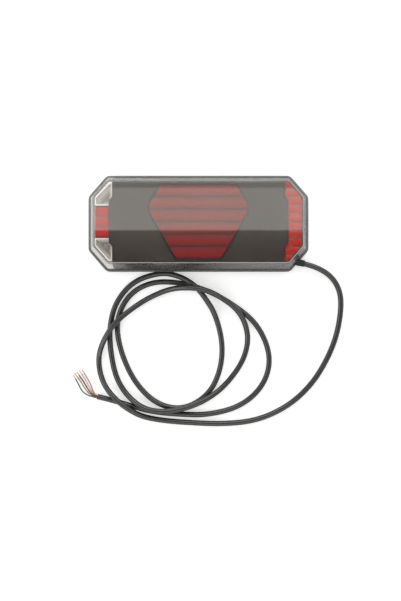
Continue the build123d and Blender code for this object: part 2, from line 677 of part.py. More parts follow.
def driver_chips():
    """The two driver circuits."""
    return [chip(side * (STUD + PARTS_OUT), CHIP_Y, *CHIP_SIZE) for side in (1, -1)]


def resistors():
    """Two columns of power resistors beside the left stud."""
    columns = [-STUD + PARTS_OUT - RESISTOR_COLUMN * k for k in range(2)]
    rows = [RESISTOR_Y - RESISTOR_PITCH * n for n in range(RESISTOR_ROWS)]
    return [chip(x, y, *RESISTOR_SIZE) for x in columns for y in rows]


def capacitors():
    """Two round capacitors."""
    cans = []
    for side in (1, -1):
        x = side * (STUD + PARTS_OUT)
        can = post(x, CAPACITOR_Y, BOARD_TOP, BOARD_TOP + CAPACITOR_HEIGHT, CAPACITOR_RADIUS)
        cans.append(chamfer(can.edges().group_by(Axis.Z)[-1], CAPACITOR_EDGE))
    return cans


def power_coil():
    """The suppression coil: a round core with a flange at each end."""
    x, y = -STUD + COIL_IN, RESISTOR_Y - 2 * RESISTOR_PITCH
    coil = post(x, y, BOARD_TOP, BOARD_TOP + COIL_HEIGHT, COIL_RADIUS)
    groove = post(x, y, BOARD_TOP + COIL_FLANGE, BOARD_TOP + COIL_HEIGHT - COIL_FLANGE, COIL_RADIUS)
    return coil - (groove - post(x, y, BOARD_TOP, BOARD_TOP + COIL_HEIGHT, COIL_CORE))


def terminal_place():
    """The middle of the connector, beside the end of the cable."""
    end = outlet_plane(ENTRY_LENGTH).origin
    return end.X + TERMINAL_FROM_ENTRY[0], end.Y + TERMINAL_FROM_ENTRY[1]


def terminal_block():
    """The connector that takes the five cores, with an entry for each."""
    body = chip(*terminal_place(), *TERMINAL_SIZE)
    for ex, ey, ez in terminal_entries():
        body -= Pos(ex - TERMINAL_DEPTH / 2, ey, ez) * Rot(0, 90, 0) * Cylinder(CORE_RADIUS, TERMINAL_DEPTH)
    return body


def terminal_entries():
    """The centre of each entry's mouth."""
    x, y = terminal_place()
    x, z = x + TERMINAL_SIZE[0] / 2, BOARD_TOP + TERMINAL_HEIGHT
    return [(x, y + (k - (CORES - 1) / 2) * TERMINAL_PITCH, z) for k in range(CORES)]


def screw(x, y, seat):
    """A pan-head screw that goes down from its seat."""
    head = post(x, y, seat, seat + SCREW_HEAD_HEIGHT, SCREW_HEAD)
    head = fillet(head.edges().group_by(Axis.Z)[-1], SCREW_HEAD_ROUND)
    return head + post(x, y, seat - SCREW_LENGTH, seat, SCREW_RADIUS)


def board_screws():
    """The screws that hold the board to its posts."""
    return [screw(x, y, BOARD_TOP) for x, y in board_screw_places()]


# ---------------------------------------------------------------- cable


def tube(path_points, radius, bends):
    """A round tube along straight runs joined by tangent arcs."""
    path = FilletPolyline(*path_points, radius=bends)
    section = Plane(origin=path @ 0, z_dir=path % 0) * Circle(radius)
    return sweep(section, path=path), path.length


def bend_radii(points):
    """The largest arc that each corner's two runs allow."""
    vectors = [Vector(*p) for p in points]
    radii = []
    for a, b, c in zip(vectors, vectors[1:], vectors[2:]):
        turn = radians((b - a).get_angle(c - b))
        radii.append(0.45 * min((b - a).length, (c - b).length) / tan(turn / 2))
    return radii


def placed(route, radius):
    """A route's points in the lamp's own frame, for a cable or core of this radius."""
    return [(x, y - WIDTH / 2, z * radius) for x, y, z in route]


def cord_sheath():
    """The free cable, from the grommet's mouth to its cut end."""
    points = [cord_start(), tuple(outlet_plane(-FIRST_RUN).origin)] + placed(ROUTE, CORD_RADIUS)
    radii = bend_radii(points)
    solid, length = tube(points, CORD_RADIUS, radii)
    print("cable radii", [round(r) for r in radii])
    plain = pi * CORD_RADIUS**2 * length
    print(f"cable length {length:.0f}, volume {solid.volume:.0f}, section times length {plain:.0f}")
    return solid


def core_offsets():
    """The centres of the cores in a cross-section of the cable, as offsets across and up."""
    angles = [radians(90 + 360 * k / CORES) for k in range(CORES)]
    return [(CORE_RING * cos(a), CORE_RING * sin(a)) for a in angles]


def cord_end_plane(distance=0.0):
    """The plane of the cable's cut end, or one this far beyond it, facing along the cable."""
    before, last = (Vector(*p) for p in placed(ROUTE[-2:], CORD_RADIUS))
    along = (last - before).normalized()
    return Plane(origin=last + along * distance, x_dir=Vector(0, 0, 1).cross(along), z_dir=along)


def free_core(name):
    """One stripped core from the cut end, and its bare tip."""
    offset = (*core_offsets()[list(CORE_ROUTES).index(name)], 0)
    starts = [cord_end_plane(d).from_local_coords(offset) for d in (0.0, CORE_FIRST_RUN)]
    points = [tuple(p) for p in starts] + placed(CORE_ROUTES[name], CORE_RADIUS)
    core, _ = tube(points, CORE_RADIUS, bend_radii(points))
    last, before = Vector(*points[-1]), Vector(*points[-2])
    tip = extrude(Plane(origin=last, z_dir=(last - before).normalized()) * Circle(TIP_RADIUS), TIP_LENGTH)
    return core, tip


def cable_grommet():
    """The rubber strain relief: a tapered nose, a collar on the outlet boss and a neck through the wall."""
    nose_length = BOSS_FACE - GROMMET_COLLAR_LENGTH
    nose = loft([outlet_plane(0) * Circle(GROMMET_MOUTH), outlet_plane(nose_length) * Circle(GROMMET_ROOT)])
    collar = extrude(outlet_plane(nose_length) * Circle(GROMMET_COLLAR), GROMMET_COLLAR_LENGTH)
    neck = extrude(outlet_plane(BOSS_FACE) * Circle(GROMMET_NECK), OUTLET_BOSS_LENGTH)
    bore = extrude(outlet_plane(0) * Circle(CORD_RADIUS), BOSS_FACE + OUTLET_BOSS_LENGTH)
    return nose + collar + neck - bore


def cord_entry():
    """The end of the cable that is held in the grommet and the clamp."""
    return extrude(outlet_plane(0) * Circle(CORD_RADIUS), ENTRY_LENGTH)


def clamp_profile():
    """The clamp across the cable: a bridge over it, a leg down to the floor and a foot for the screw."""
    top, reach = CORD_RADIUS + CLAMP_STRAP, CLAMP_REACH + POST_RADIUS
    face = Circle(top) & (Pos(0, top / 2) * Rectangle(2 * top, top))
    face += Pos(-top / 2, (FLOOR - GLAND_HEIGHT) / 2) * Rectangle(top, GLAND_HEIGHT - FLOOR)
    face += Pos(reach / 2, CLAMP_FOOT / 2) * Rectangle(reach, CLAMP_FOOT)
    hole = Circle(CORD_RADIUS) + Pos(0, -CORD_RADIUS / 2) * Rectangle(2 * CORD_RADIUS, CORD_RADIUS)
    return face - hole


def upright_plane(distance):
    """The plane across the cable with its own y upwards and its x away from the wall, facing outwards."""
    flat = outlet_plane(distance)
    return Plane(origin=flat.origin, x_dir=flat.x_dir, z_dir=-flat.z_dir)


def cable_clamp():
    """The bridge that holds the cable down inside the housing."""
    body = extrude(upright_plane(CLAMP_AT + CLAMP_WIDTH / 2) * clamp_profile(), CLAMP_WIDTH)
    return body - post(*clamp_screw_place(), 0, DEPTH, SCREW_RADIUS + FIT / 2)


def clamp_screw():
    """The screw of the cable clamp."""
    return screw(*clamp_screw_place(), GLAND_HEIGHT + CLAMP_FOOT)


def inner_leads():
    """The five cores from the end of the cable inside the housing to the terminal block."""
    plane = upright_plane(ENTRY_LENGTH)
    starts = sorted((plane.from_local_coords((x, y, 0)) for x, y in core_offsets()), key=lambda p: p.Y)
    inward = outlet_plane(0).z_dir
    leads = []
    for start, mouth in zip(starts, terminal_entries()):
        end = Vector(*mouth)
        points = [tuple(p) for p in (start, start + inward * LEAD_OUT, end + Vector(LEAD_IN, 0, 0), end)]
        leads.append(tube(points, CORE_RADIUS, [r * LEAD_BEND for r in bend_radii(points)])[0])
    return leads


# ---------------------------------------------------------------- every piece, by name


def pieces():
    """Each separate piece of the lamp."""
    made = {
        "rear_housing": rear_housing(),
        "outer_cover": outer_cover(),
        "cover_seal": cover_seal(),
        "breather_vent": breather_vent(),
        "mounting_inserts": mounting_inserts(),
        "centre_mask": centre_mask(),
        "hexagon_lens": hexagon_lens(),
        "hexagon_reflector": hexagon_reflector(),
        "hexagon_leds": leds(led_rows()),
        "right_end_lens": right_end_lens(),
        "right_reflector": right_reflector(),
        "right_end_leds": leds(right_led_places()),
        "left_reflector": left_reflector(),
        "left_end_leds": leds(left_led_places()),
        "marker_lens": marker_lens(),
        "marker_leds": leds(marker_led_places()),
        "circuit_board": circuit_board(),
        "driver_chips": driver_chips(),
        "resistors": resistors(),
        "capacitors": capacitors(),
        "power_coil": power_coil(),
        "terminal_block": terminal_block(),
        "board_screws": board_screws(),
        "cable_grommet": cable_grommet(),
        "cord_entry": cord_entry(),
        "cable_clamp": cable_clamp(),
        "clamp_screw": clamp_screw(),
        "inner_leads": inner_leads(),
        "cord_sheath": cord_sheath(),
    }
    tips = []
    for name in CORE_ROUTES:
        made[name], tip = free_core(name)
        tips.append(tip)
    made["core_tips"] = tips
    return made


def main():
    os.makedirs("parts", exist_ok=True)
    for name, shape in pieces().items():
        if isinstance(shape, list):
            shape = Compound(children=shape)
        export_step(shape, f"parts/{name}.step")


main()
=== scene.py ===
"""Finishes, cable and studio for a trailer's rear lamp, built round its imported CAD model."""

import bpy
import numpy as np
from bpy.props import FloatProperty, FloatVectorProperty, IntProperty, PointerProperty
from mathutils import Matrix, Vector


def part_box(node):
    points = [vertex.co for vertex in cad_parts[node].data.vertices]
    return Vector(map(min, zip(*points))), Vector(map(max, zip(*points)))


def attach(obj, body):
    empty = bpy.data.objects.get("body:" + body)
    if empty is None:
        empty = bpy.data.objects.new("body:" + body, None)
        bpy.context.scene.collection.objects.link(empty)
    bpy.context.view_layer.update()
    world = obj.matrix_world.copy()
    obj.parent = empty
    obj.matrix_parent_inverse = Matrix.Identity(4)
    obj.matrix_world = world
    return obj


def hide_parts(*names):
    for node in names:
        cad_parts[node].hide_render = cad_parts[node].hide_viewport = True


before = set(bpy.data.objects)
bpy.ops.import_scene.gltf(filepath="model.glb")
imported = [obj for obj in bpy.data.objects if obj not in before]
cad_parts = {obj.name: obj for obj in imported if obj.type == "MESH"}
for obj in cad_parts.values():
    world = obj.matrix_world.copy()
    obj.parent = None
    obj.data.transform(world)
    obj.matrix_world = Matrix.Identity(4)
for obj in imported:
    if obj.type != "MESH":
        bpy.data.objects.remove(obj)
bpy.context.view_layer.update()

bl_info = {
    "name": "Trailer rear lamp",
    "version": (1, 0, 0),
    "blender": (4, 5, 0),
    "location": "View3D > Sidebar > Rear lamp",
    "description": "Finishes a trailer's rear lamp and lays out its cable and studio",
    "category": "Object",
}

MM = 0.001
# The height of the cover's flat front.
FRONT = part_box("outer_cover")[1][2]
# Heights at which the cover's foot, tinted with painted shade, gives way to its sides, and its sides to its
# front.
COVER_FOOT = (14.3 * MM, 14.9 * MM)
COVER_EDGE = (29.5 * MM, 31.5 * MM)
# The lamp's outline: half its length and width, and its corner cuts along and across.
LAMP_HALF = (119.0 * MM, 52.0 * MM)
CORNER_CUT = (20.0 * MM, 23.0 * MM)
# The heights between which the clear end's bowl goes from its deep colour, painted paler as light that lifts
# the shade in its depths, to its edge colour.
BOWL = (22.0 * MM, 27.5 * MM)
# How high the ridges stand on the six-sided lens and on the lenses of the two ends; over this height the
# lenses' colour goes from painted shade in the valleys to painted light on the crests.
RIDGE_RISE = 1.4 * MM
CELL_RISE = 1.2 * MM
# The bead, a pale tube that is a painted highlight on the front's rounded edge: how far inside the outline
# it runs, its corners, and how far it lies below the front.
BEAD_INSET = 8.7 * MM
BEAD_CORNER = 5.5 * MM
BEAD_DROP = 0.25 * MM
BEAD_RADIUS = 0.38 * MM
BEAD_CORNER_STEPS = 6
BEAD_SIDES = 8
# The bare strands: their twist over the tip's length in radians, how far they lie from the tip's
# axis, how much further at the end, how unevenly, and the lowest that they reach below the axis.
STRAND_STEPS = 9
STRAND_SIDES = 6
STRAND_TWIST = 2.2
STRAND_SPREAD = 0.3 * MM
STRAND_FLARE = 0.35
STRAND_UNEVEN = 0.1
STRAND_UNEVEN_TURNS = 5
STRAND_LOWEST = -0.7 * MM

# Roughness of each finish, from 0 for a mirror to 1 for chalk.
COVER_POLISHED = 0.02
COVER_GRAINED = 0.22
ROUGHNESS = {
    "sheath": 0.45, "cores": 0.4, "copper": 0.3, "housing": 0.5, "rubber": 0.7, "brass": 0.3, "bead": 0.3,
    "mask": 0.35, "ridged_lens": 0.5, "end_lens": 0.2, "silver": 0.3, "satin": 0.4, "board": 0.3,
    "phosphor": 0.25, "chips": 0.6, "cans": 0.35, "connector": 0.4, "zinc": 0.35, "clamp": 0.5, "table": 0.7,
    "flag": 0.9,
}
# How far polish and colour wander over a piece, as shares of their own values.
MOULDED_POLISH = (0.85, 1.15)
MOULDED_SHADE = (0.88, 1.12)
METAL_POLISH = (0.7, 1.3)
RUBBER_POLISH = (0.88, 1.12)
RUBBER_SHADE = (0.85, 1.25)
# The lowest and highest roughness of the satin bowl, the table and the black card.
SATIN_POLISH = (0.35, 0.45)
TABLE_POLISH = (0.65, 0.75)
FLAG_POLISH = (0.85, 0.95)
# Noise in lumps a metre, the middle range that most of it lies in, and the depth of each relief.
NOISE_MIDDLE = (0.3, 0.7)
GRAIN_NOISE = 2600.0
PATCH_NOISE = 38.0
GRAIN = 0.02 * MM
FINE_GRAIN = 0.01 * MM
PEEL_NOISE = 420.0
PEEL = 0.008 * MM
METALLISED_NOISE = 60.0
TOOL_MARK_NOISE = 900.0
TOOL_MARK_STRETCH = (0.2, 0.2, 4.0)
TOOL_MARK = 0.012 * MM
TURNED_NOISE = 300.0
RUBBER_NOISE = 1400.0
BLOOM_NOISE = 90.0
TABLE_NOISE = 30.0
FLAG_NOISE = 20.0
# The acrylic's refraction, the lenses' milky share, and how strongly each surface reflects.
ACRYLIC_IOR = 1.49
MILKY = 0.5
PLAIN_POLISH = 0.5
RIDGED_POLISH = 0.0
END_POLISH = 0.05
MASK_GLOSS = 0.08
SHEATH_SHEEN = 1.0
SHEEN_ROUGHNESS = 0.12

TABLE_TOP = -0.3 * MM
TABLE_HALF = 3.0
# How brightly the table glows, and how much brighter the room is, for each kind of ray that sees them.
TABLE_GLOW = {"Is Camera Ray": 0.55, "Is Glossy Ray": 0.1, "Is Transmission Ray": 0.04}
ROOM_SEEN = {"Is Camera Ray": 0.8, "Is Glossy Ray": 0.5, "Is Transmission Ray": 0.8}
# The strip light: its height over the front, its length, where its two long sides are mirrored in
# metres from below the camera, and its brightness at stops from the near side to the far one.
STRIP_HEIGHT = 1.2
STRIP_LENGTH = 1.3
STRIP_SPAN = (0.0425, 0.13)
STRIP_COLOUR = (1.0, 0.99, 0.91)
STRIP_PROFILE = (
    (0.01, 0.0), (0.119, 0.02), (0.239, 0.07), (0.35, 0.16), (0.365, 1.0), (0.855, 1.0), (0.874, 0.57),
    (0.911, 0.55), (0.935, 0.75), (0.99, 0.78),
)
# The black card over the strip: its limits along X and Y, and its height.
FLAG = (-0.7, 0.7, -0.35, 0.6, 1.3)
# The softboxes: name, place, size, and brightness as a share of the setting.
SOFTBOX_AIM = (0.0, -0.08, 0.0)
SOFTBOXES = (
    ("softbox_left", (-1.1, -0.2, 0.95), (1.1, 0.7), 0.7),
    ("softbox_back", (0.1, 1.15, 0.9), (2.0, 0.8), 0.85),
    ("softbox_right", (1.1, 0.3, 0.9), (0.9, 0.4), 0.4),
    ("softbox_front", (-0.1, -0.95, 1.1), (1.6, 0.5), 0.55),
)

# The cable's control points in millimetres, from the grommet's mouth to the cut end.
CABLE_ROUTE = [
    (116, -42.8, 5.4), (130.52, -46.56, 5.4), (147, -57, 3.0), (156, -73, 3.0), (157, -93, 3.0),
    (152, -122, 3.0), (141, -149, 3.0), (124, -176, 3.0), (99, -199, 3.0), (65, -215, 3.0),
    (26, -219, 3.0), (-15, -217, 3.0), (-39, -215, 3.0), (-61, -211, 3.2), (-75, -202.5, 9.6),
    (-88, -193, 10.0), (-102, -178, 7.0), (-109, -161, 3.0), (-110, -143, 3.0), (-103, -125, 9.2),
    (-91, -107, 10.4), (-73, -92, 7.0), (-55, -80, 3.0), (-31, -70, 7.4), (-10, -69, 16.2),
    (7, -71, 16.4), (24, -79, 10.6), (42, -92, 9.6), (52, -109, 5.4), (55, -129, 3.0),
    (48, -152, 3.0), (29, -177, 3.6), (9, -191, 9.8), (-12, -200, 9.7), (-38, -205, 9.6),
    (-60, -201, 10.1), (-78, -188, 4.4), (-91, -168, 3.0), (-97, -138, 3.0), (-98, -111, 3.0),
    (-91, -84, 3.0), (-71, -61, 3.0), (-41, -52, 3.0), (-21, -56, 6.2), (-4, -66, 10.2),
    (8, -81, 9.7), (19, -99, 3.6), (27, -131, 3.0), (24, -161, 3.0), (11, -187, 3.0),
    (-16, -203, 3.0), (-45, -198, 3.0), (-70, -174, 3.0), (-86, -139, 3.0), (-91, -106, 3.0),
    (-78, -77, 3.0), (-52, -62, 3.0), (-20, -63, 3.0), (11, -72, 3.0), (41, -89, 3.0),
    (66, -110, 3.0), (80, -144, 3.0), (73, -175, 3.0), (48, -199, 3.0), (11, -209, 3.0),
    (-23, -208, 3.0), (-53, -205, 3.0), (-82, -196.5, 3.0), (-97, -192, 3.0), (-111, -188.7, 3.0),
]
# Each core's control points in millimetres, from the cut end of the sheath to its own bare tip.
CORE_ROUTES = {
    "core_brown": [
        (-111, -188.7, 4.45), (-113.9, -188.0, 4.45), (-119.6, -183.8, 2.2), (-124, -177.6, 0.75),
        (-127.5, -171.5, 0.75), (-131.8, -165.5, 0.75),
    ],
    "core_pink": [
        (-110.7, -187.4, 3.45), (-113.6, -186.7, 3.45), (-116.8, -181.5, 1.6), (-119, -175.5, 0.75),
        (-122.5, -169, 0.75), (-126, -163.5, 0.75),
    ],
    "core_white": [
        (-110.8, -187.9, 1.83), (-113.7, -187.2, 1.83), (-118.5, -182.5, 0.75), (-121.6, -176.5, 0.75),
        (-125, -170, 0.75), (-129, -164, 0.75),
    ],
    "core_cream": [
        (-111.2, -189.5, 1.83), (-114.1, -188.8, 1.83), (-121, -185.8, 0.75), (-126.2, -179.3, 0.75),
        (-129.7, -173, 0.75), (-134, -167, 0.75),
    ],
    "core_grey": [
        (-111.3, -190.0, 3.45), (-114.2, -189.4, 3.45), (-123.5, -187.3, 1.0), (-129.5, -182, 0.75),
        (-131.8, -176.5, 0.75), (-135.8, -169.5, 0.75),
    ],
}


# ---------------------------------------------------------------- settings


def length(name, description, default, low=0.0, high=5.0):
    """A size setting in metres."""
    return FloatProperty(
        name=name, description=description, default=default, min=low, max=high, unit="LENGTH"
    )


def share(name, description, default):
    """A setting from none to all."""
    return FloatProperty(
        name=name, description=description, default=default, min=0.0, max=1.0, subtype="FACTOR"
    )


def level(name, description, default):
    """A light's brightness, where a white card in full light is 1."""
    return FloatProperty(name=name, description=description, default=default, min=0.0, max=50.0)


def colour(name, description, default):
    """A colour setting, in linear red, green and blue."""
    return FloatVectorProperty(
        name=name, description=description, default=default, size=3, min=0.0, max=1.0, subtype="COLOR"
    )


class RearLampCableSettings(bpy.types.PropertyGroup):
    """Sizes and colours of the cable, its cores and their tips."""

    sheath_radius: length("Sheath radius", "Half the cable's thickness", 3.0 * MM)
    core_radius: length("Core radius", "Half the thickness of one insulated core", 0.75 * MM)
    strand_radius: length("Strand radius", "Half the thickness of one copper strand", 0.14 * MM)
    strand_count: IntProperty(
        name="Strands", description="Copper strands round each tip", default=6, min=3, max=12
    )
    tip_length: length("Tip length", "Bare copper at the end of a core", 5.0 * MM)
    sheath: colour("Sheath", "Colour of the cable's sheath", (0.007, 0.007, 0.006))
    brown: colour("Brown", "Colour of the brown core", (0.16, 0.06, 0.028))
    pink: colour("Pink", "Colour of the pale pink core", (0.62, 0.36, 0.32))
    white: colour("White", "Colour of the white core", (0.68, 0.62, 0.56))
    cream: colour("Cream", "Colour of the cream core", (0.55, 0.4, 0.26))
    grey: colour("Grey", "Colour of the grey-green core", (0.2, 0.23, 0.17))
    copper: colour("Copper", "Colour of the bare strands", (0.75, 0.4, 0.24))


class RearLampFinishSettings(bpy.types.PropertyGroup):
    """Colours of the finishes on the lamp itself."""

    housing: colour("Housing", "Black of the rear housing", (0.03, 0.03, 0.031))
    rubber: colour("Rubber", "Black of the seal and the grommet", (0.018, 0.018, 0.0186))
    mask: colour("Mask", "Black of the centre mask", (0.034, 0.028, 0.025))
    # Painted light and shade: the red lenses are lighter on their crests and darker in their valleys.
    ridged_red: colour("Ridged lens", "Red of the six-sided lens, on its crests", (0.26, 0.002, 0.001))
    ridged_valley_shade: colour(
        "Ridged lens, valleys", "Red of the six-sided lens between its crests", (0.075, 0.001, 0.001)
    )
    end_red: colour("End lenses", "Red of the lenses in the two ends, on their crests", (0.56, 0.014, 0.006))
    end_valley_shade: colour(
        "End lenses, valleys", "Red of the two ends' lenses between their crests", (0.24, 0.003, 0.001)
    )
    clear: colour("Clear", "Tint of the clear cover", (0.97, 0.975, 0.965))
    # Painted shade: the flange's dark grey tint stands in for the shadowed table seen under it.
    flange: colour("Flange", "Tint of the cover's grained flange", (0.15, 0.15, 0.145))
    # Painted highlight: the bead's pale colour stands in for the glint on the front's rounded edge.
    bead: colour("Bead", "The pale bead round the cover's front", (0.62, 0.61, 0.59))
    silver: colour("Silver", "Metallised reflectors behind the red lenses", (0.85, 0.84, 0.82))
    satin: colour("Satin", "Satin reflector of the clear end, at its edges", (0.5, 0.47, 0.445))
    # Painted light: the bowl is paler deep down, lifting the shade that falls in its depths.
    satin_deep_painted_light: colour(
        "Satin, deep", "Satin reflector of the clear end, deep in its bowl", (0.78, 0.74, 0.71)
    )
    board: colour("Board", "Solder mask of the board", (0.62, 0.65, 0.62))
    phosphor: colour("Phosphor", "Yellow face of the light sources", (0.78, 0.72, 0.48))
    chips: colour("Chips", "Epoxy of the chips, resistors and coil", (0.02, 0.02, 0.02))
    cans: colour("Cans", "Aluminium cans of the capacitors", (0.7, 0.7, 0.72))
    connector: colour("Connector", "Nylon of the connector", (0.7, 0.68, 0.6))
    brass: colour("Brass", "Threaded inserts", (0.66, 0.46, 0.2))
    zinc: colour("Zinc", "Plating of the screws", (0.62, 0.62, 0.6))
    clamp: colour("Clamp", "Nylon of the cable clamp", (0.03, 0.03, 0.03))


class RearLampStageSettings(bpy.types.PropertyGroup):
    """The camera, the table and the studio lights."""

    camera_height: length("Camera height", "Camera above the table", 0.6645)
    camera_side: length("Camera side", "Camera to the right of the lamp's middle", 0.0022, -1.0, 1.0)
    camera_down: length("Camera down", "Camera below the lamp's middle", 0.083, -1.0, 1.0)
    lens: FloatProperty(
        name="Lens", description="Focal length", default=36.02, min=10.0, max=200.0, unit="CAMERA"
    )
    table: share("Table", "How pale the table is", 0.93)
    room: level("Room", "Light from all round", 0.2)
    strip: level("Strip", "Brightness of the strip light that the front reflects", 2.15)
    sides: level("Sides", "Brightness of the side softboxes", 2.85)
    flag: colour("Flag", "The black card over the strip light", (0.01, 0.01, 0.01))


# ---------------------------------------------------------------- materials


class Finish:
    """A material under construction: its node tree, its shader and the coordinates of its patterns."""

    def __init__(self, name, base, roughness, metallic=0.0):
        self.material = bpy.data.materials.new(name)
        self.material.use_nodes = True
        self.tree = self.material.node_tree
        self.shader = self.tree.nodes["Principled BSDF"]
        self.shader.inputs["Base Color"].default_value = (*base, 1.0)
        self.shader.inputs["Roughness"].default_value = roughness
        self.shader.inputs["Metallic"].default_value = metallic
        self.place = self.add("ShaderNodeTexCoord").outputs["Object"]

    def add(self, kind, **values):
        """A new node, with the given properties set."""
        node = self.tree.nodes.new(kind)
        for key, value in values.items():
            setattr(node, key, value)
        return node

    def join(self, source, target):
        """Links an output to an input."""
        self.tree.links.new(source, target)

    def noise(self, scale, detail=3.0, stretch=(1.0, 1.0, 1.0)):
        """Soft noise over the piece, at so many lumps a metre, drawn out along an axis by stretch."""
        mapping = self.add("ShaderNodeMapping")
        mapping.inputs["Scale"].default_value = stretch
        self.join(self.place, mapping.inputs["Vector"])
        noise = self.add("ShaderNodeTexNoise")
        noise.inputs["Scale"].default_value = scale
        noise.inputs["Detail"].default_value = detail
        self.join(mapping.outputs["Vector"], noise.inputs["Vector"])
        return noise.outputs["Fac"]

    def between(self, source, start, end, low, high):
        """A value that goes from low to high as the source goes from start to end."""
        node = self.add("ShaderNodeMapRange")
        for socket, value in zip(("From Min", "From Max", "To Min", "To Max"), (start, end, low, high)):
            node.inputs[socket].default_value = value
        self.join(source, node.inputs["Value"])
        return node.outputs["Result"]

    def spread(self, source, low, high):
        """The source, taken from its middle range to lie between low and high."""
        return self.between(source, *NOISE_MIDDLE, low, high)

    def blend(self, factor, first, second):
        """A colour that goes from the first to the second with the factor."""
        mix = self.add("ShaderNodeMix", data_type="RGBA")
        mix.inputs["A"].default_value = (*first, 1.0)
        mix.inputs["B"].default_value = (*second, 1.0)
        self.join(factor, mix.inputs["Factor"])
        return mix.outputs["Result"]

    def vary_roughness(self, source, low, high):
        """Lets the polish wander between two values."""
        self.join(self.spread(source, low, high), self.shader.inputs["Roughness"])

    def vary_colour(self, source, dark, light):
        """Lets the colour wander between two shades."""
        self.join(self.blend(self.spread(source, 0.0, 1.0), dark, light), self.shader.inputs["Base Color"])

    def relief(self, source, depth):
        """Raises the surface by up to depth, in metres, where the source is bright."""
        bump = self.add("ShaderNodeBump")
        bump.inputs["Distance"].default_value = depth
        bump.inputs["Strength"].default_value = 1.0
        self.join(source, bump.inputs["Height"])
        self.join(bump.outputs["Normal"], self.shader.inputs["Normal"])


def shade(base, factor):
    """A colour made darker or lighter."""
    return tuple(min(channel * factor, 1.0) for channel in base)


def shades(base, factors):
    """A colour's darkest and lightest shade."""
    return tuple(shade(base, factor) for factor in factors)


def range_of(roughness, factors):
    """The lowest and highest roughness of a finish."""
    return tuple(min(roughness * factor, 1.0) for factor in factors)


def moulded_plastic(name, base, roughness, grain=GRAIN, gloss=PLAIN_POLISH):
    """Moulded plastic: a fine spark-eroded grain, and polish that wanders a little."""
    finish = Finish(name, base, roughness)
    finish.shader.inputs["Specular IOR Level"].default_value = gloss
    finish.relief(finish.noise(GRAIN_NOISE, detail=2.0), grain)
    patches = finish.noise(PATCH_NOISE)
    finish.vary_roughness(patches, *range_of(roughness, MOULDED_POLISH))
    finish.vary_colour(patches, *shades(base, MOULDED_SHADE))
    return finish.material


def clear_plastic(name, tint, roughness, body=0.0, polish=PLAIN_POLISH):
    """Clear or coloured moulded acrylic, as a finish that can still be added to. It bends what is seen
    through it and lets lamplight in. Body is the share that scatters light as a milky plastic does,
    and polish is how strongly its own surface reflects."""
    finish = Finish(name, tint, roughness)
    finish.shader.inputs["Specular IOR Level"].default_value = polish
    finish.shader.inputs["Transmission Weight"].default_value = 1.0 - body
    finish.shader.inputs["IOR"].default_value = ACRYLIC_IOR
    passing = finish.passing = finish.add("ShaderNodeBsdfTransparent")
    passing.inputs["Color"].default_value = (*np.sqrt(tint), 1.0)
    rays = finish.add("ShaderNodeLightPath")
    mix = finish.add("ShaderNodeMixShader")
    output = finish.tree.nodes["Material Output"]
    finish.join(rays.outputs["Is Shadow Ray"], mix.inputs["Fac"])
    finish.join(finish.shader.outputs["BSDF"], mix.inputs[1])
    finish.join(passing.outputs["BSDF"], mix.inputs[2])
    finish.join(mix.outputs["Shader"], output.inputs["Surface"])
    return finish


def cover_plastic(name, tint, flange_shade_tint):
    """The cover's acrylic: a polished front, and sides and flange with a fine grain. The flange is tinted
    dark grey as painted shade for the shadowed table seen through it. Both change with the height above the
    table."""
    finish = clear_plastic(name, tint, COVER_POLISHED)
    split = finish.add("ShaderNodeSeparateXYZ")
    finish.join(finish.place, split.inputs["Vector"])
    height = split.outputs["Z"]
    roughness = finish.between(height, *COVER_EDGE, COVER_GRAINED, COVER_POLISHED)
    finish.join(roughness, finish.shader.inputs["Roughness"])
    # Painted shade: below the cover's foot the acrylic takes the dark flange tint.
    above = finish.between(height, *COVER_FOOT, 0.0, 1.0)
    for low, high, target in (
        (flange_shade_tint, tint, finish.shader.inputs["Base Color"]),
        (np.sqrt(flange_shade_tint), np.sqrt(tint), finish.passing.inputs["Color"]),
    ):
        finish.join(finish.blend(above, low, high), target)
    return finish.material


def ribbed_plastic(name, node, rise, crest, valley_shade, roughness, polish):
    """The red acrylic of a lens with rounded ridges, painted lighter along the crests and darker in the
    valleys as light and shade from the ridges; the valleys lie rise below the lens's highest point."""
    finish = clear_plastic(name, crest, roughness, MILKY, polish)
    split = finish.add("ShaderNodeSeparateXYZ")
    finish.join(finish.place, split.inputs["Vector"])
    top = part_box(node)[1][2]
    # Painted light and shade: the colour goes from the valley shade to the lit crest with the height.
    height = finish.between(split.outputs["Z"], top - rise, top, 0.0, 1.0)
    finish.join(finish.blend(height, valley_shade, crest), finish.shader.inputs["Base Color"])
    return finish.material


def metallised(name, base, roughness):
    """A vacuum-metallised or plated surface, with faint orange peel."""
    finish = Finish(name, base, roughness, 1.0)
    finish.vary_roughness(finish.noise(METALLISED_NOISE), *range_of(roughness, METAL_POLISH))
    finish.relief(finish.noise(PEEL_NOISE, detail=1.0), PEEL)
    return finish.material


def turned_metal(name, base, roughness):
    """Turned or plated metal with fine rings of tool marks across Z."""
    finish = Finish(name, base, roughness, 1.0)
    finish.relief(finish.noise(TOOL_MARK_NOISE, 2.0, TOOL_MARK_STRETCH), TOOL_MARK)
    finish.vary_roughness(finish.noise(TURNED_NOISE), *range_of(roughness, METAL_POLISH))
    return finish.material


def rubber(name, base, roughness, sheen=0.0):
    """Soft black rubber or cable sheath: a dry surface with a dusty bloom in patches, under a coat
    of plasticiser where a sheen is given."""
    finish = Finish(name, base, roughness)
    finish.shader.inputs["Coat Weight"].default_value = sheen
    finish.shader.inputs["Coat Roughness"].default_value = SHEEN_ROUGHNESS
    finish.relief(finish.noise(RUBBER_NOISE), PEEL)
    bloom = finish.noise(BLOOM_NOISE, detail=4.0)
    finish.vary_colour(bloom, *shades(base, RUBBER_SHADE))
    finish.vary_roughness(bloom, *range_of(roughness, RUBBER_POLISH))
    return finish.material


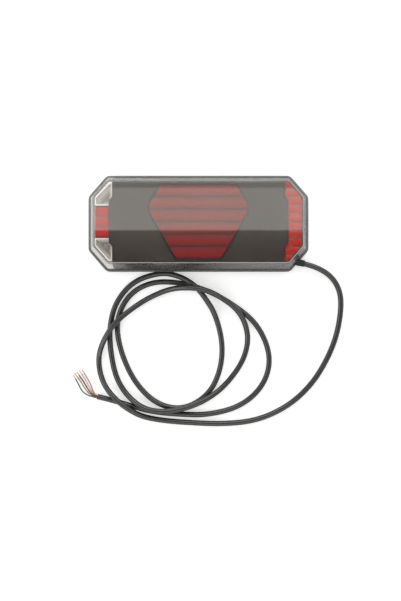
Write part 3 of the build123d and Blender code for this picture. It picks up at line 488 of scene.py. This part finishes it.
def dress(material, *nodes):
    """Gives one material to whole CAD nodes."""
    for name in nodes:
        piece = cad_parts[name]
        piece.data.materials.clear()
        piece.data.materials.append(material)


# ---------------------------------------------------------------- geometry


def add_mesh(name, vertices, faces, material):
    """A new smooth-shaded piece from arrays of vertices and faces."""
    mesh = bpy.data.meshes.new(name)
    mesh.from_pydata(np.asarray(vertices).tolist(), [], [list(face) for face in faces])
    mesh.materials.append(material)
    mesh.polygons.foreach_set("use_smooth", np.ones(len(mesh.polygons), dtype=bool))
    mesh.update()
    piece = bpy.data.objects.new(name, mesh)
    bpy.context.scene.collection.objects.link(piece)
    return piece


def grid_faces(rows, columns):
    """The quads of a grid that closes on itself across its columns."""
    row, column = np.meshgrid(np.arange(rows - 1), np.arange(columns), indexing="ij")
    here, below = row * columns, (row + 1) * columns
    right = (column + 1) % columns
    corners = [here + column, here + right, below + right, below + column]
    return np.stack(corners, axis=-1).reshape(-1, 4)


def smooth_line(name, points, radius, material):
    """A round cord along one open NURBS spline whose control points are the given ones."""
    curve = bpy.data.curves.new(name, "CURVE")
    curve.dimensions = "3D"
    spline = curve.splines.new("NURBS")
    spline.points.add(len(points) - 1)
    homogeneous = np.ones((len(points), 4))
    homogeneous[:, :3] = np.array(points) * MM
    spline.points.foreach_set("co", homogeneous.ravel())
    spline.order_u = 3
    spline.use_endpoint_u = True
    spline.resolution_u = 12
    curve.bevel_depth = radius
    curve.bevel_resolution = 6
    curve.use_fill_caps = True
    curve.materials.append(material)
    piece = bpy.data.objects.new(name, curve)
    bpy.context.scene.collection.objects.link(piece)
    return piece


def by_ray(tree, start, seen, target):
    """Feeds a strength that starts from a plain value and gains a share for each kind of ray that
    sees it."""
    rays = tree.nodes.new("ShaderNodeLightPath")
    last = None
    for kind, value in seen.items():
        added = tree.nodes.new("ShaderNodeMath")
        added.operation = "MULTIPLY_ADD"
        added.inputs[1].default_value = value
        added.inputs[2].default_value = start
        tree.links.new(rays.outputs[kind], added.inputs[0])
        if last:
            tree.links.new(last.outputs["Value"], added.inputs[2])
        last = added
    tree.links.new(last.outputs["Value"], target)


def outline_corners(inset):
    """The eight corners of the lamp's outline drawn in by inset, anticlockwise, and the turn at each."""
    run = np.hypot(*CORNER_CUT)
    across, along = CORNER_CUT[1] / run, CORNER_CUT[0] / run
    reach = across * LAMP_HALF[0] + along * (LAMP_HALF[1] - CORNER_CUT[1]) - inset
    x, y = LAMP_HALF[0] - inset, LAMP_HALF[1] - inset
    side, top = (reach - across * x) / along, (reach - along * y) / across
    right = np.array([(top, -y), (x, -side), (x, side), (top, y)])
    corners = np.concatenate([right, -right])
    slant = np.arctan2(CORNER_CUT[1], CORNER_CUT[0])
    turns = np.array([slant, np.pi / 2 - slant, np.pi / 2 - slant, slant] * 2)
    return corners, turns


# ---------------------------------------------------------------- operators


class REARLAMP_OT_cable(bpy.types.Operator):
    """Lay the cable, its five cores and their bare tips"""

    bl_idname = "rearlamp.cable"
    bl_label = "Cable"

    def execute(self, context):
        look = context.scene.rearlamp_cable
        sheath = rubber("cable_sheath", look.sheath, ROUGHNESS["sheath"], SHEATH_SHEEN)
        cores = [self.core(name, getattr(look, name.removeprefix("core_")), look) for name in CORE_ROUTES]
        strands = self.strands(look)
        cable = smooth_line("cable", CABLE_ROUTE, look.sheath_radius, sheath)
        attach(cable, "root")
        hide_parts("cord_sheath")
        dress(sheath, "cord_entry")
        dress(rubber("lead_insulation", look.sheath, ROUGHNESS["sheath"]), "inner_leads")
        return {"FINISHED"}

    def core(self, name, base, look):
        """One insulated core from the sheath's cut end."""
        material = moulded_plastic(name + "_insulation", base, ROUGHNESS["cores"], FINE_GRAIN)
        piece = smooth_line("wire_" + name, CORE_ROUTES[name], look.core_radius, material)
        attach(piece, "root")
        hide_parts(name)
        return piece

    def strands(self, look):
        """The bare tips. Each strand is a tube whose centre winds slowly round the tip's axis:
        offset = spread * (cos(a), sin(a)), where a is the strand's own angle plus a twist in
        proportion to the distance t. The spread grows with t squared, and differs a little from
        strand to strand by a sine of its own angle."""
        ends = np.array([CORE_ROUTES[name][-2:] for name in CORE_ROUTES]) * MM
        along = ends[:, 1] - ends[:, 0]
        along /= np.linalg.norm(along, axis=1, keepdims=True)
        across = np.cross(along, (0.0, 0.0, 1.0))
        upward = np.cross(across, along)
        count, steps, sides = look.strand_count, STRAND_STEPS, STRAND_SIDES
        t = np.linspace(0.0, 1.0, steps)
        phase = 2 * np.pi * np.arange(count) / count
        angle = phase[:, None] + STRAND_TWIST * t[None, :]
        flare = 1 + STRAND_FLARE * t**2
        uneven = 1 + STRAND_UNEVEN * np.sin(STRAND_UNEVEN_TURNS * phase)
        spread = STRAND_SPREAD * flare[None, :] * uneven[:, None]
        ring = 2 * np.pi * np.arange(sides) / sides
        side = (spread * np.cos(angle))[..., None] + look.strand_radius * np.cos(ring)
        rise = (spread * np.sin(angle))[..., None] + look.strand_radius * np.sin(ring)
        rise = np.maximum(rise, STRAND_LOWEST)
        forward = (t * look.tip_length)[None, :, None] + np.zeros_like(side)
        moves = ((forward, along), (side, across), (rise, upward))
        points = sum(part[None, ..., None] * axis[:, None, None, None, :] for part, axis in moves)
        points = points + ends[:, 1][:, None, None, None, :]
        starts = np.arange(len(ends) * count) * steps * sides
        quads = grid_faces(steps, sides)
        faces = [list(q) for q in (quads[None] + starts[:, None, None]).reshape(-1, 4)]
        first = starts[:, None] + np.arange(sides)[None, :]
        last = first + (steps - 1) * sides
        faces += [list(f[::-1]) for f in first] + [list(f) for f in last]
        material = metallised("bare_copper", look.copper, ROUGHNESS["copper"])
        piece = add_mesh("bare_strands", points.reshape(-1, 3), faces, material)
        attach(piece, "root")
        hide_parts("core_tips")
        return piece


class REARLAMP_OT_housing(bpy.types.Operator):
    """Finish the rear housing, its seal, breather, inserts and grommet"""

    bl_idname = "rearlamp.housing"
    bl_label = "Rear housing"

    def execute(self, context):
        look = context.scene.rearlamp_finish
        plastic = moulded_plastic("housing_plastic", look.housing, ROUGHNESS["housing"])
        dress(plastic, "rear_housing", "breather_vent")
        dress(rubber("soft_rubber", look.rubber, ROUGHNESS["rubber"]), "cover_seal", "cable_grommet")
        dress(turned_metal("insert_brass", look.brass, ROUGHNESS["brass"]), "mounting_inserts")
        return {"FINISHED"}


class REARLAMP_OT_cover(bpy.types.Operator):
    """Finish the clear outer cover and lay a pale bead round its front as a painted highlight"""

    bl_idname = "rearlamp.cover"
    bl_label = "Clear cover"

    def execute(self, context):
        look = context.scene.rearlamp_finish
        dress(cover_plastic("cover_acrylic", look.clear, look.flange), "outer_cover")
        # Painted highlight: a milky pale bead in place of the glint on the front's edge.
        bead = clear_plastic("edge_acrylic", look.bead, ROUGHNESS["bead"], MILKY).material
        self.bead(bead)
        return {"FINISHED"}

    def bead(self, material):
        """The pale bead round the front, a painted highlight in place of the glint on its rounded edge: a
        round tube carried along the front's rounded eight-sided edge. Each corner is an arc, offset =
        radius * (cos(a), sin(a)) round its own centre, where a runs over the corner's turn; straight sides
        join the arcs."""
        corners, turns = outline_corners(BEAD_INSET)
        steps, sides = BEAD_CORNER_STEPS, BEAD_SIDES
        previous, following = np.roll(corners, 1, axis=0), np.roll(corners, -1, axis=0)
        into = corners - previous
        into /= np.linalg.norm(into, axis=1, keepdims=True)
        out = following - corners
        out /= np.linalg.norm(out, axis=1, keepdims=True)
        inward = np.stack([-into[:, 1], into[:, 0]], axis=1)
        set_back = BEAD_CORNER * np.tan(turns / 2)
        centres = corners - into * set_back[:, None] + inward * BEAD_CORNER
        start = np.arctan2(-inward[:, 1], -inward[:, 0])
        angle = start[:, None] + turns[:, None] * np.linspace(0.0, 1.0, steps)[None, :]
        away = np.stack([np.cos(angle), np.sin(angle)], axis=-1).reshape(-1, 2)
        line = (centres[:, None, :] + BEAD_CORNER * away.reshape(len(corners), steps, 2)).reshape(-1, 2)
        ring = 2 * np.pi * np.arange(sides) / sides
        reach = BEAD_RADIUS * np.cos(ring)[None, :]
        x, y = (line[:, None, axis] + reach * away[:, None, axis] for axis in (0, 1))
        z = FRONT - BEAD_DROP + BEAD_RADIUS * np.sin(ring)[None, :] + np.zeros_like(x)
        rows = len(line)
        points = np.stack([x, y, z], axis=-1).reshape(-1, 3)
        faces = grid_faces(rows + 1, sides) % (rows * sides)
        piece = add_mesh("cover_bead", points, faces[:, ::-1], material)
        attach(piece, "root")
        return piece


class REARLAMP_OT_mask(bpy.types.Operator):
    """Finish the dark centre mask"""

    bl_idname = "rearlamp.mask"
    bl_label = "Centre mask"

    def execute(self, context):
        look = context.scene.rearlamp_finish
        plastic = moulded_plastic("mask_plastic", look.mask, ROUGHNESS["mask"], FINE_GRAIN, MASK_GLOSS)
        dress(plastic, "centre_mask")
        return {"FINISHED"}


class REARLAMP_OT_lenses(bpy.types.Operator):
    """Finish the red lenses"""

    bl_idname = "rearlamp.lenses"
    bl_label = "Red lenses"

    def execute(self, context):
        look = context.scene.rearlamp_finish
        ridged = look.ridged_red, look.ridged_valley_shade, ROUGHNESS["ridged_lens"], RIDGED_POLISH
        end = look.end_red, look.end_valley_shade, ROUGHNESS["end_lens"], END_POLISH
        dress(ribbed_plastic("ridged_red", "hexagon_lens", RIDGE_RISE, *ridged), "hexagon_lens")
        for node in ("right_end_lens", "marker_lens"):
            dress(ribbed_plastic(node + "_red", node, CELL_RISE, *end), node)
        return {"FINISHED"}


class REARLAMP_OT_reflectors(bpy.types.Operator):
    """Finish the metallised reflectors and the satin one of the clear end"""

    bl_idname = "rearlamp.reflectors"
    bl_label = "Reflectors"

    def execute(self, context):
        look = context.scene.rearlamp_finish
        silver = metallised("reflector_silver", look.silver, ROUGHNESS["silver"])
        dress(silver, "hexagon_reflector", "right_reflector")
        dress(self.satin(look), "left_reflector")
        return {"FINISHED"}

    def satin(self, look):
        """The clear end's bowl: a satin finish, painted paler where it lies deep as light that lifts the
        shade there.
        """
        finish = Finish("reflector_satin", look.satin, ROUGHNESS["satin"])
        finish.relief(finish.noise(GRAIN_NOISE, detail=2.0), FINE_GRAIN)
        finish.vary_roughness(finish.noise(PATCH_NOISE), *SATIN_POLISH)
        split = finish.add("ShaderNodeSeparateXYZ")
        finish.join(finish.place, split.inputs["Vector"])
        # Painted light: paler towards the bottom of the bowl, where its shade falls.
        depth = finish.between(split.outputs["Z"], *BOWL, 1.0, 0.0)
        finish.join(finish.blend(depth, look.satin, look.satin_deep_painted_light), finish.shader.inputs["Base Color"])
        return finish.material


class REARLAMP_OT_electronics(bpy.types.Operator):
    """Finish the board, its light sources and the parts on it"""

    bl_idname = "rearlamp.electronics"
    bl_label = "Electronics"

    def execute(self, context):
        look = context.scene.rearlamp_finish
        dress(moulded_plastic("solder_mask", look.board, ROUGHNESS["board"]), "circuit_board")
        phosphor = moulded_plastic("led_phosphor", look.phosphor, ROUGHNESS["phosphor"])
        dress(phosphor, "hexagon_leds", "right_end_leds", "left_end_leds", "marker_leds")
        epoxy = moulded_plastic("chip_epoxy", look.chips, ROUGHNESS["chips"])
        dress(epoxy, "driver_chips", "resistors", "power_coil")
        dress(turned_metal("capacitor_can", look.cans, ROUGHNESS["cans"]), "capacitors")
        dress(moulded_plastic("connector_nylon", look.connector, ROUGHNESS["connector"]), "terminal_block")
        return {"FINISHED"}


class REARLAMP_OT_fixings(bpy.types.Operator):
    """Finish the screws and the cable clamp"""

    bl_idname = "rearlamp.fixings"
    bl_label = "Fixings"

    def execute(self, context):
        look = context.scene.rearlamp_finish
        dress(turned_metal("zinc_plating", look.zinc, ROUGHNESS["zinc"]), "board_screws", "clamp_screw")
        dress(moulded_plastic("clamp_nylon", look.clamp, ROUGHNESS["clamp"]), "cable_clamp")
        return {"FINISHED"}


class REARLAMP_OT_stage(bpy.types.Operator):
    """Set up the table, the lights and the camera"""

    bl_idname = "rearlamp.stage"
    bl_label = "Stage"

    def execute(self, context):
        look = context.scene.rearlamp_stage
        self.table(look)
        self.world(context, look)
        self.strip_light(look)
        self.flag(look)
        self.side_lights(look)
        self.camera(context, look)
        context.scene.view_settings.view_transform = "Standard"
        return {"FINISHED"}

    def table(self, look):
        """A pale table that looks white and keeps the lamp's shadow."""
        finish = Finish("table_white", (look.table,) * 3, ROUGHNESS["table"])
        finish.shader.inputs["Specular IOR Level"].default_value = 0.0
        finish.vary_roughness(finish.noise(TABLE_NOISE), *TABLE_POLISH)
        glow = finish.add("ShaderNodeEmission")
        both = finish.add("ShaderNodeAddShader")
        by_ray(finish.tree, 0.0, TABLE_GLOW, glow.inputs["Strength"])
        finish.join(finish.shader.outputs["BSDF"], both.inputs[0])
        finish.join(glow.outputs["Emission"], both.inputs[1])
        finish.join(both.outputs["Shader"], finish.tree.nodes["Material Output"].inputs["Surface"])
        around = ((-1, -1), (1, -1), (1, 1), (-1, 1))
        corners = [(x * TABLE_HALF, y * TABLE_HALF, TABLE_TOP) for x, y in around]
        add_mesh("table", corners, [(0, 1, 2, 3)], finish.material)

    def world(self, context, look):
        """Even light from all round, brighter where it is seen directly, mirrored or looked at
        through clear plastic."""
        world = bpy.data.worlds.new("studio")
        world.use_nodes = True
        background = world.node_tree.nodes["Background"]
        background.inputs["Color"].default_value = (1.0, 1.0, 1.0, 1.0)
        by_ray(world.node_tree, look.room, ROOM_SEEN, background.inputs["Strength"])
        context.scene.world = world

    def area(self, name, place, aim, size, brightness):
        """A rectangular softbox of the given brightness, aimed at a point."""
        light = bpy.data.lights.new(name, "AREA")
        light.shape = "RECTANGLE"
        light.size, light.size_y = size
        light.energy = brightness * np.pi * size[0] * size[1]
        lamp = bpy.data.objects.new(name, light)
        lamp.location = place
        lamp.rotation_euler = (Vector(aim) - Vector(place)).to_track_quat("-Z", "Y").to_euler()
        bpy.context.scene.collection.objects.link(lamp)
        return light

    def strip_light(self, look):
        """The overhead panel that the flat front mirrors. Its brightness runs through the stops of
        STRIP_PROFILE from its near long side to its far one."""
        reach = 1 + STRIP_HEIGHT / (look.camera_height - FRONT)
        low, high = (edge * reach - look.camera_down for edge in STRIP_SPAN)
        place = (look.camera_side, (low + high) / 2, FRONT + STRIP_HEIGHT)
        panel = self.area("strip", place, (place[0], place[1], 0.0), (STRIP_LENGTH, high - low), look.strip)
        panel.color = STRIP_COLOUR
        panel.use_nodes = True
        tree = panel.node_tree
        geometry = tree.nodes.new("ShaderNodeNewGeometry")
        across = tree.nodes.new("ShaderNodeSeparateXYZ")
        profile = tree.nodes.new("ShaderNodeValToRGB")
        stops = profile.color_ramp.elements
        stops[0].position, stops[1].position = STRIP_PROFILE[0][0], STRIP_PROFILE[-1][0]
        for share_across, _ in STRIP_PROFILE[1:-1]:
            stops.new(share_across)
        for stop, (_, value) in zip(stops, STRIP_PROFILE):
            stop.color = (value, value, value, 1.0)
        tree.links.new(geometry.outputs["Parametric"], across.inputs["Vector"])
        tree.links.new(across.outputs["Y"], profile.inputs["Fac"])
        tree.links.new(profile.outputs["Color"], tree.nodes["Emission"].inputs["Strength"])

    def flag(self, look):
        """A black card over the strip, so that the flat front mirrors the strip and nothing else."""
        finish = Finish("flag_black", look.flag, ROUGHNESS["flag"])
        finish.vary_roughness(finish.noise(FLAG_NOISE), *FLAG_POLISH)
        left, right, near, far, height = FLAG
        corners = [(left, near, height), (left, far, height), (right, far, height), (right, near, height)]
        add_mesh("flag", corners, [(0, 1, 2, 3)], finish.material)

    def side_lights(self, look):
        """Large softboxes round the table, outside what the flat front mirrors."""
        for name, place, size, brightness in SOFTBOXES:
            self.area(name, place, SOFTBOX_AIM, size, look.sides * brightness)

    def camera(self, context, look):
        """The camera, straight above the table."""
        data = bpy.data.cameras.new("camera")
        data.sensor_fit = "VERTICAL"
        data.sensor_height = 36.0
        data.lens = look.lens
        camera = bpy.data.objects.new("camera", data)
        camera.location = (look.camera_side, -look.camera_down, look.camera_height)
        context.scene.collection.objects.link(camera)
        context.scene.camera = camera


class REARLAMP_PT_panel(bpy.types.Panel):
    """The rear lamp's steps, in the sidebar of the 3D view"""

    bl_idname = "REARLAMP_PT_panel"
    bl_label = "Rear lamp"
    bl_space_type = "VIEW_3D"
    bl_region_type = "UI"
    bl_category = "Rear lamp"

    def draw(self, context):
        for step in STEPS:
            self.layout.operator(step.bl_idname)


STEPS = (
    REARLAMP_OT_cable,
    REARLAMP_OT_housing,
    REARLAMP_OT_cover,
    REARLAMP_OT_mask,
    REARLAMP_OT_lenses,
    REARLAMP_OT_reflectors,
    REARLAMP_OT_electronics,
    REARLAMP_OT_fixings,
    REARLAMP_OT_stage,
)
SETTINGS = {
    "rearlamp_cable": RearLampCableSettings,
    "rearlamp_finish": RearLampFinishSettings,
    "rearlamp_stage": RearLampStageSettings,
}


def register():
    """Registers the settings, the steps and the panel, and gives each scene its settings."""
    for kind in (*SETTINGS.values(), *STEPS, REARLAMP_PT_panel):
        bpy.utils.register_class(kind)
    for name, kind in SETTINGS.items():
        setattr(bpy.types.Scene, name, PointerProperty(type=kind))


def unregister():
    """Takes back what register gave."""
    for name in SETTINGS:
        delattr(bpy.types.Scene, name)
    for kind in reversed((*SETTINGS.values(), *STEPS, REARLAMP_PT_panel)):
        bpy.utils.unregister_class(kind)


def main():
    """Runs the steps in order."""
    register()
    for step in STEPS:
        group, name = step.bl_idname.split(".")
        getattr(getattr(bpy.ops, group), name)()


if __name__ == "__main__":
    main()
